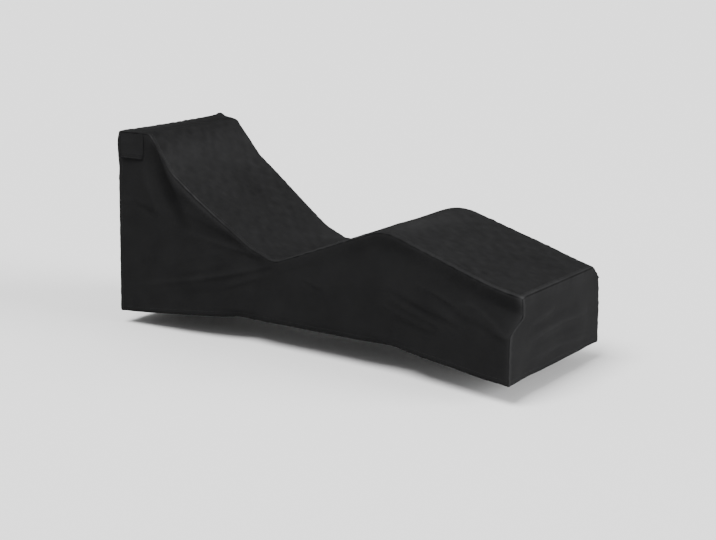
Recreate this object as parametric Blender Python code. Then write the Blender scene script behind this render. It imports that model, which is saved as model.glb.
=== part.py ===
"""A fitted cloth cover for a wave-shaped lounge chair.

Metres, +Z up. +X runs from the head of the chair to its foot, and +Y is the left hand of someone
lying in it. The origin is where the chair carries the cover: on the underside of the cloth, at
the lowest point of the seat, midway across.

The cover is five cut panels and a vent flap: one long top panel that follows the chair's wave, a
panel down each side, and one across each end. Each piece is a sheet. Its outer face is worked
out on a grid, and its thickness grows inwards. Where two pieces meet, the lower or inner one
stops a seam gap short of the other's inner face.
"""
import math

import bpy
import numpy as np

# Driving dimensions, in metres. Distances run from the rear face and heights from the ground.
CLOTH = 0.002
SEAM_GAP = 0.0004
SLANT_ROOM = 0.0009
EDGE_ROLL = 0.030
SEAT_SAG = 0.006
REAR_BOW = 0.008
FOOT_BOW = 0.004
EAR_RISE = 0.008
EAR_SIZE = 0.030

# The wave of the top panel: where its straight runs would meet, and the radius of each bend.
WAVE = (
    # name, distance, height, bend radius
    ("rear edge", 0.000, 0.7595, 0.000),
    ("cap front", 0.121, 0.7550, 0.040),
    ("head roll", 0.229, 0.6176, 0.180),
    ("seat back", 0.590, 0.3714, 0.150),
    ("seat", 0.706, 0.3277, 0.080),
    ("knee", 1.201, 0.5186, 0.170),
    ("foot edge", 1.745, 0.3555, 0.000),
)

# How each side hangs, at stations along the chair: half widths, and drops below the top edge.
# The side leaves the top panel's edge, draws in to a waist, swells to a shelf over the chair's
# frame and runs straight from there to the hem. The roll is how far the edge bends down.
SIDE_COLUMNS = (
    "distance", "roll", "edge", "waist drop", "waist", "shelf drop", "shelf", "hem", "hem height"
)
RIGHT_SIDE = (
    (0.000, 0.002, 0.300, 0.040, 0.310, 0.220, 0.311, 0.328, 0.050),
    (0.130, 0.006, 0.262, 0.060, 0.262, 0.190, 0.292, 0.322, 0.060),
    (0.190, 0.006, 0.266, 0.065, 0.266, 0.180, 0.288, 0.318, 0.066),
    (0.270, 0.010, 0.264, 0.058, 0.254, 0.170, 0.284, 0.314, 0.075),
    (0.430, 0.012, 0.2565, 0.045, 0.239, 0.150, 0.268, 0.296, 0.089),
    (0.570, 0.006, 0.243, 0.040, 0.235, 0.120, 0.257, 0.272, 0.097),
    (0.705, 0.005, 0.237, 0.040, 0.239, 0.110, 0.254, 0.268, 0.0995),
    (0.950, 0.005, 0.246, 0.050, 0.245, 0.150, 0.263, 0.268, 0.101),
    (1.240, 0.006, 0.262, 0.060, 0.254, 0.200, 0.283, 0.272, 0.103),
    (1.480, 0.006, 0.269, 0.060, 0.259, 0.180, 0.299, 0.300, 0.0895),
    (1.660, 0.006, 0.267, 0.058, 0.253, 0.145, 0.316, 0.317, 0.075),
    (1.745, 0.006, 0.243, 0.055, 0.238, 0.117, 0.323, 0.325, 0.071),
)
LEFT_SIDE = (
    (0.000, 0.004, 0.299, 0.040, 0.304, 0.160, 0.306, 0.325, 0.050),
    (0.130, 0.005, 0.262, 0.060, 0.264, 0.190, 0.296, 0.322, 0.060),
    (0.190, 0.005, 0.268, 0.055, 0.265, 0.180, 0.292, 0.318, 0.067),
    (0.270, 0.005, 0.268, 0.050, 0.264, 0.170, 0.288, 0.314, 0.075),
    (0.430, 0.005, 0.256, 0.045, 0.253, 0.150, 0.270, 0.296, 0.089),
    (0.570, 0.005, 0.244, 0.040, 0.245, 0.120, 0.258, 0.272, 0.097),
    (0.705, 0.005, 0.238, 0.040, 0.241, 0.110, 0.256, 0.268, 0.099),
    (0.950, 0.005, 0.248, 0.050, 0.250, 0.150, 0.266, 0.268, 0.100),
    (1.240, 0.006, 0.265, 0.050, 0.269, 0.150, 0.291, 0.272, 0.099),
    (1.480, 0.006, 0.273, 0.030, 0.280, 0.110, 0.304, 0.308, 0.081),
    (1.660, 0.010, 0.279, 0.030, 0.290, 0.090, 0.308, 0.320, 0.070),
    (1.745, 0.025, 0.289, 0.032, 0.313, 0.070, 0.319, 0.326, 0.067),
)

# Soft creases. Each runs along a curve from start by way of middle to end, in distance and
# height on a side or in place across and height on the foot end. A swell below zero is a trough.
CREASE_COLUMNS = ("start", "middle", "end", "swell", "half width")
RIGHT_CREASES = (
    ((0.145, 0.715), (0.165, 0.570), (0.290, 0.405), -0.016, 0.020),
    ((0.235, 0.578), (0.360, 0.484), (0.490, 0.395), 0.006, 0.023),
    ((0.300, 0.450), (0.430, 0.402), (0.560, 0.352), -0.005, 0.018),
    ((0.300, 0.402), (0.430, 0.368), (0.600, 0.338), 0.006, 0.016),
    ((0.695, 0.314), (0.480, 0.258), (0.010, 0.122), 0.006, 0.016),
    ((0.640, 0.250), (0.480, 0.190), (0.300, 0.150), -0.004, 0.020),
    ((1.240, 0.310), (1.430, 0.250), (1.540, 0.226), -0.006, 0.016),
    ((1.390, 0.330), (1.560, 0.262), (1.740, 0.207), -0.007, 0.016),
    ((1.340, 0.354), (1.545, 0.310), (1.730, 0.230), 0.006, 0.016),
)
LEFT_CREASES = (
    ((0.170, 0.700), (0.220, 0.560), (0.360, 0.440), -0.012, 0.022),
    ((0.665, 0.315), (0.480, 0.300), (0.250, 0.250), 0.006, 0.018),
    ((0.700, 0.310), (0.880, 0.290), (1.080, 0.250), 0.005, 0.018),
    ((1.380, 0.400), (1.500, 0.320), (1.700, 0.230), -0.006, 0.018),
)
FOOT_CREASES = (
    ((-0.215, 0.205), (-0.040, 0.215), (0.200, 0.212), 0.005, 0.018),
    ((-0.215, 0.128), (-0.060, 0.137), (0.260, 0.110), 0.005, 0.016),
    ((-0.214, 0.271), (-0.124, 0.262), (-0.048, 0.283), 0.004, 0.014),
)
EDGE_HOLD = 0.030

# Where the hem is drawn in under the chair: place, half length, depth, and height that it takes.
HEM_TUCKS = (
    (0.565, 0.060, 0.014),
    (1.235, 0.070, 0.014),
    (0.900, 0.330, 0.008),
)
HEM_TUCK_HEIGHT = 0.035

# The vent flap lies on the right side, under the cap, sewn along its top and open below.
FLAP_START = 0.014
FLAP_END = 0.098
FLAP_DROP = 0.001
FLAP_LENGTH = 0.095
FLAP_CLOTH = 0.0015
FLAP_CLEARANCE = 0.0015
FLAP_MOUTH = 0.006

# Grids.
WAVE_STEPS = 56
CROSS_COLUMNS = 12
SIDE_ROWS = 11
FLAP_ROWS = 4
FLAP_COLUMNS = 4
BEND_SAMPLES = 16
CREASE_SAMPLES = 25
NUDGE = 0.001

CLOTH_COLOUR = (0.021, 0.021, 0.022, 1.0)
FLAP_COLOUR = (0.017, 0.017, 0.018, 1.0)
CLOTH_ROUGHNESS = 0.82


def smooth_step(value):
    """Rise from 0 to 1 as value goes from 0 to 1, level at both ends."""
    held = np.clip(value, 0.0, 1.0)
    return held * held * (3.0 - 2.0 * held)


def smooth_between(place, stations, values):
    """Read a table along the smooth curve through its rows, each row's slope from its neighbours."""
    slopes = np.gradient(values, stations)
    row = np.clip(np.searchsorted(stations, place) - 1, 0, len(stations) - 2)
    span = stations[row + 1] - stations[row]
    part = (place - stations[row]) / span
    rise = values[row + 1] - values[row]
    leaving = slopes[row] * span
    arriving = slopes[row + 1] * span
    bend = 3.0 * rise - 2.0 * leaving - arriving
    twist = leaving + arriving - 2.0 * rise
    return values[row] + part * (leaving + part * (bend + part * twist))


def wave_outline():
    """Draw the wave as straight runs joined by arcs, in distance and height."""
    corners = np.array([(distance, height) for _, distance, height, _ in WAVE])
    radii = [radius for _, _, _, radius in WAVE]
    outline = [corners[:1]]
    for before, corner, after, radius in zip(corners, corners[1:], corners[2:], radii[1:]):
        arriving = (corner - before) / math.dist(corner, before)
        leaving = (after - corner) / math.dist(after, corner)
        turn = math.asin(arriving[0] * leaving[1] - arriving[1] * leaving[0])
        start = corner - arriving * radius * math.tan(abs(turn) / 2.0)
        spoke = np.array((arriving[1], -arriving[0])) * math.copysign(radius, turn)
        angle = np.linspace(0.0, turn, BEND_SAMPLES)[:, None]
        quarter = np.array((-spoke[1], spoke[0]))
        outline.append(start - spoke + spoke * np.cos(angle) + quarter * np.sin(angle))
    outline.append(corners[-1:])
    return np.concatenate(outline)


OUTLINE = wave_outline()
SLOPES = np.gradient(OUTLINE[:, 1], OUTLINE[:, 0])
LENGTH = OUTLINE[-1, 0]
SEAT_LOW = min(OUTLINE[(OUTLINE[:, 0] > 0.5) & (OUTLINE[:, 0] < 0.9)], key=lambda point: point[1])
ORIGIN_DISTANCE = SEAT_LOW[0]
ORIGIN_HEIGHT = SEAT_LOW[1] - SEAT_SAG - CLOTH


def wave_stations(steps):
    """Cut the wave into steps of equal length; returns their distances."""
    runs = np.hypot(*np.diff(OUTLINE, axis=0).T)
    along = np.concatenate(([0.0], np.cumsum(runs)))
    return np.interp(np.linspace(0.0, along[-1], steps + 1), along, OUTLINE[:, 0])


def wave_height(distance):
    """Height of the wave at a distance from the rear face."""
    return np.interp(distance, OUTLINE[:, 0], OUTLINE[:, 1])


class Side:
    """One long side of the cover: hand is -1 for the right side and +1 for the left."""

    def __init__(self, hand, rows, creases):
        self.hand = hand
        self.columns = dict(zip(SIDE_COLUMNS, np.array(rows).T))
        self.creases = creases

    def read(self, name, distance):
        """One column of the side's table, smoothly, at a distance from the rear face."""
        return smooth_between(distance, self.columns["distance"], self.columns[name])

    def edge_height(self, distance):
        """Height of the seam where the side meets the top panel."""
        return top_height(distance, self.hand * self.read("edge", distance))

    def half_width(self, distance, height):
        """How far out the side's outer face hangs at a distance and height."""
        drop = self.edge_height(distance) - height
        edge, waist, shelf, hem = (
            self.read(name, distance) for name in ("edge", "waist", "shelf", "hem")
        )
        waist_drop = self.read("waist drop", distance)
        shelf_drop = self.read("shelf drop", distance)
        hem_height = self.read("hem height", distance)
        hem_drop = self.edge_height(distance) - hem_height
        to_waist = smooth_step(drop / waist_drop)
        to_shelf = smooth_step((drop - waist_drop) / (shelf_drop - waist_drop))
        to_hem = np.clip((drop - shelf_drop) / (hem_drop - shelf_drop), 0.0, 1.0)
        out = edge + (waist - edge) * to_waist + (shelf - waist) * to_shelf + (hem - shelf) * to_hem
        held = smooth_step(drop / EDGE_HOLD)
        held = held * smooth_step(distance / EDGE_HOLD) * smooth_step((LENGTH - distance) / EDGE_HOLD)
        out = out + held * crease_swell(self.creases, distance, height)
        low = 1.0 - smooth_step((height - hem_height) / HEM_TUCK_HEIGHT)
        for place, reach, depth in HEM_TUCKS:
            out = out - depth * low * np.exp(-(((distance - place) / reach) ** 2))
        return out

    def face(self, distance, share):
        """The side's outer face: share is 0 under the top panel's edge and 1 at the hem."""
        top = self.edge_height(distance) - tucked_drop(distance, self.hand * self.read("edge", distance))
        height = top + share * (self.read("hem height", distance) - top)
        return place_at(distance, self.hand * self.half_width(distance, height), height)


def crease_swell(creases, across, up):
    """Sum of the creases: each a bell across its curve, fading out towards the curve's ends."""
    swell = np.zeros(np.broadcast(across, up).shape)
    part = np.linspace(0.0, 1.0, CREASE_SAMPLES)
    for row in creases:
        crease = dict(zip(CREASE_COLUMNS, row))
        curve = (
            np.outer((1.0 - part) ** 2, crease["start"])
            + np.outer(2.0 * part * (1.0 - part), crease["middle"])
            + np.outer(part**2, crease["end"])
        )
        gap = np.hypot(np.asarray(across)[..., None] - curve[:, 0], np.asarray(up)[..., None] - curve[:, 1])
        nearest = part[np.argmin(gap, axis=-1)]
        bell = np.exp(-((np.min(gap, axis=-1) / crease["half width"]) ** 2))
        swell = swell + crease["swell"] * bell * np.sqrt(np.sin(math.pi * np.clip(nearest, 0.0, 1.0)))
    return swell


def top_height(distance, across):
    """Height of the top panel's outer face: the wave, with rolled edges, a slack seat and an ear."""
    right, left = RIGHT.read("edge", distance), LEFT.read("edge", distance)
    height = wave_height(distance)
    for half, roll, inset in (
        (right, RIGHT.read("roll", distance), right + across),
        (left, LEFT.read("roll", distance), left - across),
    ):
        height = height - roll * np.clip(1.0 - inset / EDGE_ROLL, 0.0, 1.5) ** 2
    slack = smooth_step((distance - 0.20) / 0.25) * smooth_step((1.15 - distance) / 0.30)
    middle = (left - right) / 2.0
    reach = (left + right) / 2.0
    height = height - SEAT_SAG * slack * (1.0 - ((across - middle) / reach) ** 2)
    ear = np.hypot(distance, left - across) / EAR_SIZE
    return height + EAR_RISE * np.exp(-(ear**2))


def tucked_drop(distance, across):
    """How far down a piece starts so that it clears the top panel's inner face by a seam gap."""
    inward = -np.sign(across) * NUDGE
    rise_along = np.interp(distance, OUTLINE[:, 0], SLOPES)
    rise_across = (top_height(distance, across + inward) - top_height(distance, across)) / NUDGE
    return (CLOTH + SLANT_ROOM + SEAM_GAP) * np.sqrt(1.0 + rise_along**2 + rise_across**2)


def cross_spread():
    """Columns across the cover, from -1 at the right to 1 at the left, closer near both edges."""
    return np.sin(np.linspace(-0.5, 0.5, CROSS_COLUMNS + 1) * math.pi)


def place_at(distance, across, height):
    """Distance from the rear face, place across and height above ground, in the part's frame."""
    distance, across, height = np.broadcast_arrays(distance, across, height)
    return np.stack((distance - ORIGIN_DISTANCE, across, height - ORIGIN_HEIGHT), axis=-1)


RIGHT = Side(-1.0, RIGHT_SIDE, RIGHT_CREASES)
LEFT = Side(1.0, LEFT_SIDE, LEFT_CREASES)


def make_sheet(name, points, thickness, colour, flip):
    """Turn a grid of points into a sheet whose thickness grows inwards from the grid."""
    rows, columns = points.shape[:2]
    index = np.arange(rows * columns).reshape(rows, columns)
    quads = np.stack((index[:-1, :-1], index[1:, :-1], index[1:, 1:], index[:-1, 1:]), axis=-1)
    quads = quads.reshape(-1, 4)
    if flip:
        quads = quads[:, ::-1]
    mesh = bpy.data.meshes.new(name)
    mesh.from_pydata(points.reshape(-1, 3).tolist(), [], quads.tolist())
    mesh.shade_smooth()
    sheet = bpy.data.objects.new(name, mesh)
    bpy.context.scene.collection.objects.link(sheet)
    wall = sheet.modifiers.new("Wall", "SOLIDIFY")
    wall.thickness = thickness
    wall.offset = -1.0
    mesh.materials.append(make_cloth(name, colour))
    return sheet


def make_cloth(name, colour):
    """A plain matt cloth."""
    cloth = bpy.data.materials.new(name + "_cloth")
    cloth.use_nodes = True
    shader = cloth.node_tree.nodes["Principled BSDF"]
    shader.inputs["Base Color"].default_value = colour
    shader.inputs["Roughness"].default_value = CLOTH_ROUGHNESS
    shader.inputs["Metallic"].default_value = 0.0
    return cloth


def make_top_panel():
    """The long top panel, from the rear edge over the cap, back, seat, knee and calf to the foot."""
    distance = wave_stations(WAVE_STEPS)[:, None]
    spread = cross_spread()[None, :]
    right, left = RIGHT.read("edge", distance), LEFT.read("edge", distance)
    across = (left - right) / 2.0 + spread * (left + right) / 2.0
    points = place_at(distance, across, top_height(distance, across))
    return make_sheet("top_panel", points, CLOTH, CLOTH_COLOUR, flip=False)


def make_side_panel(name, side):
    """A side panel, from just under the top panel's edge to the hem."""
    distance = wave_stations(WAVE_STEPS)[None, :]
    share = np.linspace(0.0, 1.0, SIDE_ROWS + 1)[:, None] ** 1.3
    points = side.face(distance, share)
    return make_sheet(name, points, CLOTH, CLOTH_COLOUR, flip=side.hand > 0.0)


def inner_line(side, distance, share):
    """The line that an end panel keeps to: a seam gap inside the side panel's inner face."""
    outer = side.face(distance, share)
    deeper = side.face(abs(distance - CLOTH), share)
    outer[:, 1] = side.hand * np.minimum(abs(outer[:, 1]), abs(deeper[:, 1]))
    run_across, run_up = np.gradient(outer[:, 1]), np.gradient(outer[:, 2])
    length = np.hypot(run_across, run_up)
    step = (CLOTH + SLANT_ROOM + SEAM_GAP) * side.hand
    inner = outer.copy()
    inner[:, 1] += step * run_up / length
    inner[:, 2] -= step * run_across / length
    return inner


def make_end_panel(name, distance, bow, creases, flip):
    """A panel across one end, sewn in between the two sides and under the top panel."""
    share = np.linspace(0.0, 1.0, SIDE_ROWS + 1) ** 1.3
    right = inner_line(RIGHT, distance, share)[:, None, :]
    left = inner_line(LEFT, distance, share)[:, None, :]
    spread = (1.0 + cross_spread()[None, :, None]) / 2.0
    points = right + (left - right) * spread
    across = points[0, :, 1]
    belly = 1.0 - (2.0 * spread[..., 0] - 1.0) ** 2
    top = top_height(distance, across) - tucked_drop(distance, across) - ORIGIN_HEIGHT
    short = top - points[0, :, 2]
    corners = np.interp(spread[0, :, 0], (0.0, 1.0), short[[0, -1]])
    short = short - corners * (1.0 - smooth_step(belly[0] * 3.0))
    points[..., 2] += (1.0 - share[:, None]) ** 2 * short
    out = bow * np.sin(math.pi * share[:, None]) * belly
    held = smooth_step(belly * 2.0) * smooth_step(share[:, None] * 4.0)
    out = out + held * crease_swell(creases, points[..., 1], points[..., 2] + ORIGIN_HEIGHT)
    points[..., 0] += out if distance > 0.0 else -out
    return make_sheet(name, points, CLOTH, CLOTH_COLOUR, flip)


def make_vent_flap():
    """The vent flap: it follows the side panel and stands a little off it towards its mouth."""
    distance = np.linspace(FLAP_START, FLAP_END, FLAP_COLUMNS + 1)[None, :]
    share = np.linspace(0.0, 1.0, FLAP_ROWS + 1)[:, None]
    height = RIGHT.edge_height(distance) - FLAP_DROP - FLAP_LENGTH * share
    stand = FLAP_CLOTH + FLAP_CLEARANCE + FLAP_MOUTH * share**3
    points = place_at(distance, -RIGHT.half_width(distance, height) - stand, height)
    return make_sheet("vent_flap", points, FLAP_CLOTH, FLAP_COLOUR, flip=False)


def main():
    """Clear the scene and make the cover's pieces."""
    for item in list(bpy.data.objects):
        bpy.data.objects.remove(item, do_unlink=True)
    make_top_panel()
    make_side_panel("side_panel_right", RIGHT)
    make_side_panel("side_panel_left", LEFT)
    make_end_panel("rear_panel", 0.0, REAR_BOW, (), flip=True)
    make_end_panel("foot_panel", LENGTH, FOOT_BOW, FOOT_CREASES, flip=False)
    make_vent_flap()


main()
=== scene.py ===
"""The looks of a fitted cloth cover for a wave-shaped lounge chair.

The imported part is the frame. Its six sheets are replaced by finer cloth in the same places: a long
top panel over the chair's wave, a panel down each side, one across each end and a vent flap. The
panels lap over each other at topstitched seams. Everything is in metres in the part's frame, with
+X from head to foot, +Y to the left hand of someone lying in the chair and +Z up.

Inside this file a place on the cover is given by three plain numbers: its distance from the rear
face, its place across from the middle, and its height above the ground that the chair stands on.
"""
from __future__ import annotations

import logging
import math
from dataclasses import dataclass, field
from enum import Enum

import bpy
import numpy as np
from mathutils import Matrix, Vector

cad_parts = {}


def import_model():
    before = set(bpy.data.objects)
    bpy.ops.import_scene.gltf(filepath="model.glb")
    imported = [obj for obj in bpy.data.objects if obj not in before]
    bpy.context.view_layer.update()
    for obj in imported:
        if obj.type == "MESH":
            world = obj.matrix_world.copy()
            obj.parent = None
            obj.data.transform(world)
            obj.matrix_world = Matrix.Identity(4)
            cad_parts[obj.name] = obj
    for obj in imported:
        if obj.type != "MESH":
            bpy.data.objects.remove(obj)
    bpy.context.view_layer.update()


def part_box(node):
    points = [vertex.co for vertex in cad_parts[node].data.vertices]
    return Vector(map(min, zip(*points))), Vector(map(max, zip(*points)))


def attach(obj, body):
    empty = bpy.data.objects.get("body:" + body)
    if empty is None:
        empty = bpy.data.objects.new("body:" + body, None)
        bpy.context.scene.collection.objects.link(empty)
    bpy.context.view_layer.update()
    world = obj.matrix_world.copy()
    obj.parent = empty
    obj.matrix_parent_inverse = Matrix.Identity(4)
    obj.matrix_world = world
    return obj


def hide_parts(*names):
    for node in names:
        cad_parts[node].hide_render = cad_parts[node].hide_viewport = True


LOG = logging.getLogger("lounge_cover")
BODY = "root"
WEAVE_MAP = "weave"
# The sheets' tint: a colour factor per point that carries painted light and shade, with some rubbing and
# mottling.
TINT = "tint"

Array = np.ndarray
Line = tuple[Array, Array]
Pair = tuple[float, float]
Triple = tuple[float, float, float]
Material = bpy.types.Material

# Cloth thickness, the curled lip of a seamed edge and how far it drops, and the gap under a lap.
CLOTH = 0.0012
LIP = 0.0085
LIP_DROP = 0.0026
TUCK = 0.0002
# A hem curls less than a seam does.
HEM_CURL = 0.8
# Painted light and shade on creases: how much paler each metre of a crease's lift makes the cloth, a
# painted highlight on ridges and painted shade in troughs; and the least and most tint.
FOLD_SHADE = 22.0
TINT_LIMITS = (0.4, 3.0)
# How far in the stitches and the grid's finer rows lie, from a seamed edge and from a hem.
STITCH_INSET = 0.0150
EDGE_INSETS = (0.0, 0.0008, 0.0018, 0.0030, 0.0044, 0.0060, 0.0080, 0.0105, 0.0130, STITCH_INSET,
               0.0168, 0.0180, 0.0195, 0.0225, 0.0270)
HEM_STITCH = 0.0175
HEM_INSETS = (0.0, 0.0015, 0.0040, 0.0090, 0.0140, HEM_STITCH, 0.0193, 0.0207, 0.0225, 0.0270, 0.0330)
# Which of the grid's lines carries a seam's stitches, counted from its edge, and which the hem's,
# and how many lines short of its ends a hem's stitching stops.
SEAM_LINE = EDGE_INSETS.index(STITCH_INSET)
HEM_LINE = -1 - HEM_INSETS.index(HEM_STITCH)
HEM_END = 2


class Hand(Enum):
    """The two long sides, by the hand of someone lying in the chair."""

    RIGHT = -1.0
    LEFT = 1.0


class Facing(Enum):
    """Which way a grid's faces turn: as its rows and columns run, or the other way."""

    AS_GRID = 0
    TURNED = 1


def smooth_step(value: Array) -> Array:
    """Rise from 0 to 1 as value goes from 0 to 1, level at both ends: 3v^2 - 2v^3."""
    held = np.clip(value, 0.0, 1.0)
    return held * held * (3.0 - 2.0 * held)


def bell(value: Array, half_width: float | Array) -> Array:
    """A bell of height 1 about 0: exp(-(value / half_width)^2)."""
    return np.exp(-((value / half_width) ** 2))


def smooth_between(place: Array, stations: Array, values: Array) -> Array:
    """Read a table along the smooth curve through its rows.

    Formula: between two rows, the cubic that meets both values, with each row's slope taken from
    its neighbours.

    Args:
        place: Where to read, in the stations' own unit.
        stations: The rows' places, rising.
        values: The rows' values.

    Returns:
        The value at each place, shaped as place is.
    """
    slopes = np.gradient(values, stations)
    row = np.clip(np.searchsorted(stations, place) - 1, 0, len(stations) - 2)
    span = stations[row + 1] - stations[row]
    part = (place - stations[row]) / span
    rise = values[row + 1] - values[row]
    leaving = slopes[row] * span
    arriving = slopes[row + 1] * span
    bend = 3.0 * rise - 2.0 * leaving - arriving
    twist = leaving + arriving - 2.0 * rise
    return values[row] + part * (leaving + part * (bend + part * twist))


def graded(total: Array, start: tuple[float, ...], end: tuple[float, ...], middle: int) -> Array:
    """Places along a run: fixed insets from both of its ends, and even steps between them.

    Args:
        total: Length of the run, one for each column.
        start: Insets from the beginning, rising from 0.
        end: Insets from the far end, rising from 0.
        middle: How many steps lie between the two sets.

    Returns:
        Places along the run, rows by columns.
    """
    total = np.atleast_1d(total)[None, :]
    near = np.array(start)[:, None] + 0.0 * total
    far = total - np.array(end)[::-1, None]
    share = np.linspace(0.0, 1.0, middle + 1)[1:-1, None]
    return np.concatenate((near, near[-1:] + (far[:1] - near[-1:]) * share, far))


def outward(points: Array, facing: Facing) -> Array:
    """Unit normals of a grid: the cross product of its run down the rows and along the columns.

    Args:
        points: Rows by columns by 3.
        facing: Which way the faces turn.

    Returns:
        The normals, shaped as the points are.
    """
    down = np.gradient(points, axis=0)
    along = np.gradient(points, axis=1)
    normal = np.cross(down, along)
    normal /= np.maximum(np.linalg.norm(normal, axis=-1, keepdims=True), 1e-12)
    return -normal if facing is Facing.TURNED else normal


@dataclass(frozen=True)
class Bend:
    """A corner of the wave: where its straight runs would meet, and the radius that rounds it."""

    distance: float
    height: float
    radius: float = 0.0


@dataclass(frozen=True)
class Crease:
    """A soft crease along a curve from start by way of middle to end; below zero it is a trough."""

    start: Pair
    middle: Pair
    end: Pair
    swell: float
    half_width: float
    power: float = 2.0
    chords: int = 16

    def read(self, across: Array, up: Array) -> Array:
        """How far the crease lifts the cloth.

        Formula: swell times exp(-q^power) times the root of a half sine along the curve, where q
        is the distance to the curve over the half width.

        Args:
            across: Places along the panel.
            up: Heights on the panel.

        Returns:
            The lift, outwards from the panel.
        """
        part = np.linspace(0.0, 1.0, self.chords + 1)
        weights = np.stack(((1.0 - part) ** 2, 2.0 * part * (1.0 - part), part**2), axis=1)
        curve = weights @ np.array((self.start, self.middle, self.end))
        least = np.full(np.broadcast(across, up).shape, np.inf)
        nearest = np.zeros_like(least)
        for number, (begin, chord) in enumerate(zip(curve, np.diff(curve, axis=0))):
            along = (across - begin[0]) * chord[0] + (up - begin[1]) * chord[1]
            along = np.clip(along / (chord @ chord), 0.0, 1.0)
            gap = np.hypot(across - begin[0] - along * chord[0], up - begin[1] - along * chord[1])
            closer = gap < least
            least = np.where(closer, gap, least)
            nearest = np.where(closer, (number + along) / self.chords, nearest)
        ridge = np.exp(-((least / self.half_width) ** self.power))
        return self.swell * ridge * np.sqrt(np.sin(math.pi * nearest))


@dataclass(frozen=True)
class Table:
    """A value at each of some places along a run, read smoothly between them."""

    rows: tuple[Pair, ...]

    def read(self, place: Array) -> Array:
        """The value at places along the run, held beyond its two ends."""
        places, values = np.array(self.rows).T
        return smooth_between(np.clip(place, places[0], places[-1]), places, values)


@dataclass(frozen=True)
class Patch:
    """A patch of a panel where something is stronger, or less below zero, along it and across it."""

    distance: float
    across: float
    reach: float
    half_width: float
    strength: float = 1.0

    def read(self, distance: Array, across: Array) -> Array:
        """How strong it is at places on the panel: a bell along it times one across or up it."""
        along, aside = (distance - self.distance) / self.reach, (across - self.across) / self.half_width
        return self.strength * np.exp(-(along**2) - aside**2)


@dataclass(frozen=True)
class Ripples:
    """Slight unevenness: a sum of seeded plane waves whose lengths lie between two limits."""

    seed: int
    shortest: float
    longest: float
    height: float
    count: int = 28

    def read(self, first: Array, second: Array) -> Array:
        """The lift at places on a panel.

        Formula: the sum over the waves of amplitude times sin(2 pi (a first + b second) + phase),
        with amplitude in step with wave length, scaled so that the root mean square is height.

        Args:
            first: Places along the panel, in metres.
            second: Places across the panel, in metres.

        Returns:
            The lift in metres.
        """
        draw = np.random.default_rng(self.seed)
        ratio = math.log(self.longest / self.shortest)
        length = self.shortest * np.exp(ratio * draw.random(self.count))
        turn = draw.random(self.count) * 2.0 * math.pi
        phase = draw.random(self.count) * 2.0 * math.pi
        size = length / math.sqrt(float(np.sum(length**2)) / 2.0)
        angle = 2.0 * math.pi / length
        total = np.zeros(np.broadcast(first, second).shape)
        for amplitude, wave, way, lag in zip(size, angle, turn, phase):
            total += amplitude * np.sin(wave * (math.cos(way) * first + math.sin(way) * second) + lag)
        return self.height * total


@dataclass(frozen=True)
class Wave:
    """The line that the top panel follows over the chair, from the rear edge to the foot edge."""

    bends: tuple[Bend, ...] = (
        Bend(0.000, 0.7595),
        Bend(0.121, 0.7550, 0.040),
        Bend(0.229, 0.6176, 0.180),
        Bend(0.590, 0.3714, 0.150),
        Bend(0.706, 0.3277, 0.080),
        Bend(1.201, 0.5186, 0.170),
        Bend(1.745, 0.3555),
    )
    arc_samples: int = 40

    def outline(self) -> Array:
        """Straight runs joined by arcs.

        Formula: at each bend the arc starts radius times tan(half the turn) before the corner,
        and its points are the first spoke turned about the arc's centre.

        Returns:
            Points as distance and height, rising in distance.
        """
        corners = np.array([(bend.distance, bend.height) for bend in self.bends])
        pieces = [corners[:1]]
        for before, bend, corner, after in zip(corners, self.bends[1:], corners[1:], corners[2:]):
            arriving = (corner - before) / math.dist(corner, before)
            leaving = (after - corner) / math.dist(after, corner)
            turn = math.asin(arriving[0] * leaving[1] - arriving[1] * leaving[0])
            start = corner - arriving * bend.radius * math.tan(abs(turn) / 2.0)
            spoke = np.array((arriving[1], -arriving[0])) * math.copysign(bend.radius, turn)
            quarter = np.array((-spoke[1], spoke[0]))
            angle = np.linspace(0.0, turn, self.arc_samples)[:, None]
            pieces.append(start - spoke + spoke * np.cos(angle) + quarter * np.sin(angle))
        pieces.append(corners[-1:])
        return np.concatenate(pieces)


@dataclass(frozen=True)
class Station:
    """How one side hangs at one distance from the rear face.

    The top panel's edge rolls down by roll, to a half width of edge. From there the side falls by
    way of its waist and its shelf, each a half width at a drop below the edge, to the hem's half
    width and the hem's height above the ground.
    """

    distance: float
    roll: float
    edge: float
    waist_drop: float
    waist: float
    shelf_drop: float
    shelf: float
    hem: float
    hem_height: float


@dataclass(frozen=True)
class Tuck:
    """A stretch of hem that is drawn in under the chair."""

    distance: float
    reach: float
    depth: float


@dataclass(frozen=True)
class Drawn:
    """Fine wrinkles where a side is drawn tight: streaks of one slope within a patch."""

    patch: Patch
    slope: float
    seed: int
    shortest: float = 0.022
    longest: float = 0.060
    stretch: float = 0.2
    waves: int = 60

    def read(self, distance: Array, height: Array) -> Array:
        """How strong the streaks are.

        Formula: seeded waves across the slope, drawn out along it, times the patch.

        Args:
            distance: Places along the chair.
            height: Heights above the ground.

        Returns:
            The streaks' strength, above and below zero.
        """
        waves = Ripples(self.seed, self.shortest, self.longest, 1.0, self.waves)
        streaks = waves.read(self.stretch * distance, height - self.slope * distance)
        return streaks * self.patch.read(distance, height)


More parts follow.
